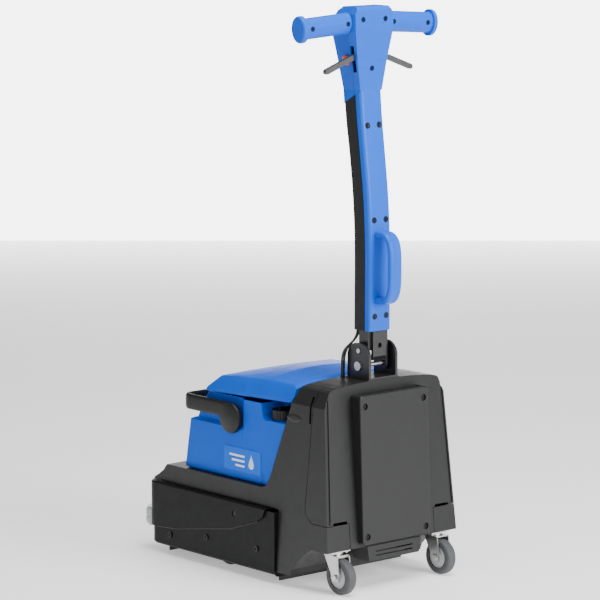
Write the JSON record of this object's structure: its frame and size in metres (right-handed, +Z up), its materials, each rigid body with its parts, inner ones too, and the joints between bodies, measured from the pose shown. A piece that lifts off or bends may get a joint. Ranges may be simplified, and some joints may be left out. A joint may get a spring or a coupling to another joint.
{
  "type": "walk-behind floor scrubber",
  "caption": "Walk-behind battery floor scrubber with cylindrical brush, lift-off tank with carrying bail, folding T-handle and rear swivel casters.",
  "frame": {"origin": "on the floor, below the middle of the overall length and width", "axes": "+Z up; -Y is the front, towards the wall rollers; +Y is the operator side, towards the casters; +X is the side with the safety button"},
  "size_m": [0.39, 0.643, 1.205],
  "materials": {
    "housing_black": "fine moulded grain",
    "deck_black": "fine moulded grain",
    "underbody_black": "plain moulded",
    "column_black": "fine moulded grain",
    "clevis_black": "black powder coat",
    "bolt_black": "black oxide",
    "screws": "black oxide",
    "zinc": "zinc plated",
    "aluminium": "extruded",
    "roller_grey": "plain moulded",
    "tyre_grey": "smooth grey rubber",
    "blade_rubber": "smooth",
    "bristle_grey": "nylon bristles",
    "motor_metal": "satin",
    "battery_black": "plain moulded",
    "board_green": "lacquered board",
    "tank_blue": "satin moulded",
    "label_blue": "printed film",
    "handle_blue": "satin moulded",
    "cap_black": "moulded",
    "grey_plastic": "moulded",
    "button_orange": "moulded",
    "cable_black": "smooth jacket"
  },
  "bodies": {
    "chassis": {"battery_pack": "battery_black", "brush_deck": "underbody_black", "brush_motor": "motor_metal", "bumper_cover": "deck_black", "caster_plate_left": "zinc", "caster_plate_right": "zinc", "clevis": "clevis_black", "clevis_screws": "screws", "control_board": "board_green", "cover_screws": "screws", "deck_screws": "screws", "deck_skirt": "deck_black", "drive_belt": "blade_rubber", "handle_cable": "cable_black", "main_housing": "housing_black", "pivot_bolt": "bolt_black", "rear_access_cover": "housing_black", "rear_housing": "housing_black", "rear_sill": "housing_black", "roller_brackets": "zinc", "squeegee_blade_front": "blade_rubber", "squeegee_blade_rear": "blade_rubber", "squeegee_holder_front": "aluminium", "squeegee_holder_rear": "aluminium", "underbody": "underbody_black", "vacuum_motor": "motor_metal", "water_pump": "motor_metal"},
    "handle": {"column_bracket": "clevis_black", "hinge_plate": "clevis_black", "column_front": "column_black", "column_rear": "handle_blue", "carry_handle": "handle_blue", "head_front": "handle_blue", "head_rear": "handle_blue", "handlebar_cores": "zinc", "grip_left": "handle_blue", "grip_right": "handle_blue", "handle_screws": "screws"},
    "lever_left": {"lever_left": "grey_plastic"},
    "lever_right": {"lever_right": "grey_plastic"},
    "safety_button": {"safety_button": "button_orange"},
    "tank": {"tank": "tank_blue", "label_plates": "label_blue"},
    "bail": {"bail": "cap_black"},
    "lid": {"tank_lid": "tank_blue"},
    "fill_cap": {"fill_cap": "cap_black"},
    "brush": {"brush_core": "roller_grey", "brush_bristles": "bristle_grey"},
    "motor_pulley": {"motor_pulley": "zinc"},
    "roller_left": {"wall_roller_left": "roller_grey"},
    "roller_right": {"wall_roller_right": "roller_grey"},
    "swivel_left": {"caster_fork_left": "zinc"},
    "swivel_right": {"caster_fork_right": "zinc"},
    "wheel_left": {"caster_hub_left": "roller_grey", "caster_tyre_left": "tyre_grey"},
    "wheel_right": {"caster_hub_right": "roller_grey", "caster_tyre_right": "tyre_grey"}
  },
  "joints": [
    {"name": "handle_fold", "type": "hinge", "parent": "chassis", "child": "handle", "pos_m": [0, 0.224, 0.46], "axis": [-1, 0, 0], "range_deg": [-75, 50], "deforming": ["handle_cable"]},
    {"name": "tank_lift", "type": "slide", "parent": "chassis", "child": "tank", "axis": [0, 0, 1], "range_m": [0, 0.25]},
    {"name": "bail_swing", "type": "hinge", "parent": "tank", "child": "bail", "pos_m": [0, -0.038, 0.334], "axis": [-1, 0, 0], "range_deg": [0, 95]},
    {"name": "lid_open", "type": "hinge", "parent": "tank", "child": "lid", "pos_m": [0, 0.15, 0.412], "axis": [-1, 0, 0], "range_deg": [0, 60]},
    {"name": "cap_turn", "type": "hinge", "parent": "tank", "child": "fill_cap", "pos_m": [0.13, 0.092, 0.352], "axis": [0, 0, 1], "range_deg": [0, 120]},
    {"name": "lever_right_pull", "type": "hinge", "parent": "handle", "child": "lever_right", "pos_m": [0.03, 0.206, 1.106], "axis": [0, -1, 0], "range_deg": [0, 22], "stiffness_Nm_per_rad": 0.8},
    {"name": "lever_left_pull", "type": "hinge", "parent": "handle", "child": "lever_left", "pos_m": [-0.03, 0.206, 1.106], "axis": [0, 1, 0], "range_deg": [0, 22], "stiffness_Nm_per_rad": 0.8},
    {"name": "button_press", "type": "slide", "parent": "handle", "child": "safety_button", "axis": [-1, 0, 0], "range_m": [0, 0.005], "stiffness_N_per_m": 300},
    {"name": "brush_spin", "type": "hinge", "parent": "chassis", "child": "brush", "pos_m": [0, -0.075, 0.05], "axis": [1, 0, 0], "continuous": true},
    {"name": "motor_spin", "type": "hinge", "parent": "chassis", "child": "motor_pulley", "pos_m": [0.16, 0.052, 0.074], "axis": [1, 0, 0], "continuous": true},
    {"name": "caster_swivel_right", "type": "hinge", "parent": "chassis", "child": "swivel_right", "pos_m": [0.141, 0.262, 0.08], "axis": [0, 0, 1], "continuous": true},
    {"name": "wheel_spin_right", "type": "hinge", "parent": "swivel_right", "child": "wheel_right", "pos_m": [0.141, 0.284, 0.0375], "axis": [1, 0, 0], "continuous": true},
    {"name": "roller_spin_right", "type": "hinge", "parent": "chassis", "child": "roller_right", "pos_m": [0.166, -0.2975, 0.075], "axis": [0, 0, 1], "continuous": true},
    {"name": "caster_swivel_left", "type": "hinge", "parent": "chassis", "child": "swivel_left", "pos_m": [-0.141, 0.262, 0.08], "axis": [0, 0, 1], "continuous": true},
    {"name": "wheel_spin_left", "type": "hinge", "parent": "swivel_left", "child": "wheel_left", "pos_m": [-0.141, 0.284, 0.0375], "axis": [1, 0, 0], "continuous": true},
    {"name": "roller_spin_left", "type": "hinge", "parent": "chassis", "child": "roller_left", "pos_m": [-0.166, -0.2975, 0.075], "axis": [0, 0, 1], "continuous": true}
  ],
  "couplings": [
    {"joint": "motor_spin", "follows": "brush_spin", "ratio": 2}
  ]
}
